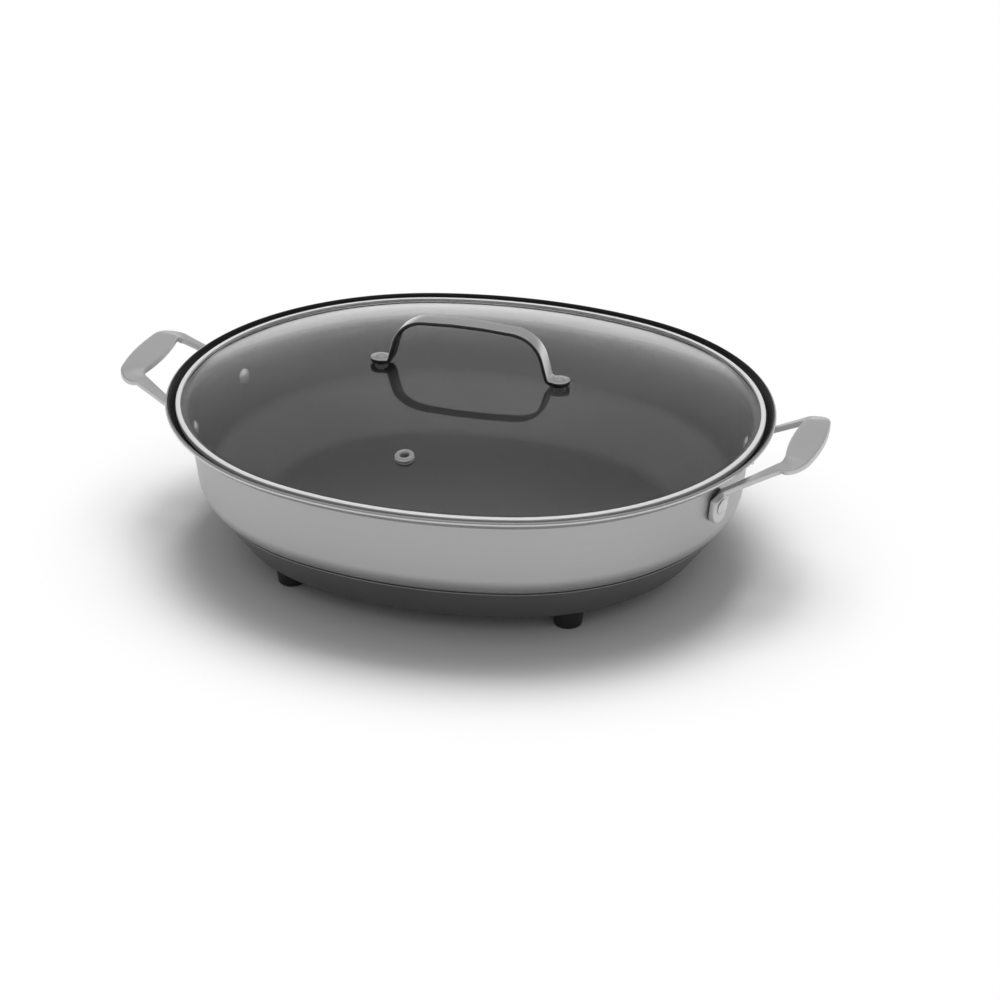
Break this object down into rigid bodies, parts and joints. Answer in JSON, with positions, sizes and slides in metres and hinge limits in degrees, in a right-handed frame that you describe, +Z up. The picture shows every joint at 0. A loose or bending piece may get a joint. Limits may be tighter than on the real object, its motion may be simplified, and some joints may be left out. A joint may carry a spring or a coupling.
{
  "type": "electric skillet",
  "caption": "Oval countertop electric skillet: flared steel bowl on a heated base with feet, two riveted cast side handles and a lift-off domed glass lid with a strap handle.",
  "frame": {"origin": "centre of the footprint, on the table under the feet", "axes": "+X to the right handle along the long side, +Y to the back where the control plugs in, +Z up"},
  "size_m": [0.4736, 0.3514, 0.1608],
  "materials": {
    "bowl_steel": "brushed stainless outside, black non-stick inside",
    "cast_plate": "cast",
    "heater_sheath": "oxidised",
    "base_steel": "dark satin",
    "plated_pins": "plated",
    "insulator": "fired ceramic",
    "guard_steel": "satin",
    "bright_steel": "polished",
    "foot_black": "moulded",
    "cast_handle": "cast, satin",
    "lid_glass": "clear tempered",
    "band_steel": "polished",
    "strap_steel": "satin",
    "washer_black": "silicone"
  },
  "bodies": {
    "skillet": {"pan": "bowl_steel", "heat_plate": "cast_plate", "heating_element": "heater_sheath", "base_cap": "base_steel", "terminal_pins": "plated_pins", "pin_insulators": "insulator", "probe_sleeve": "plated_pins", "inlet_guard": "guard_steel", "guard_screws": "bright_steel", "foot_front_left": "foot_black", "foot_front_right": "foot_black", "foot_back_left": "foot_black", "foot_back_right": "foot_black", "foot_screws": "bright_steel", "left_handle": "cast_handle", "right_handle": "cast_handle", "left_handle_rivets": "bright_steel", "right_handle_rivets": "bright_steel"},
    "lid": {"lid_glass": "lid_glass", "lid_band": "band_steel", "lid_handle": "strap_steel", "lid_washers": "washer_black", "lid_rivets": "bright_steel", "lid_nuts": "bright_steel", "vent_eyelet": "band_steel"}
  },
  "joints": [
    {"name": "lid_lift", "type": "slide", "parent": "skillet", "child": "lid", "axis": [0, 0, 1], "range_m": [0, 0.15]}
  ]
}
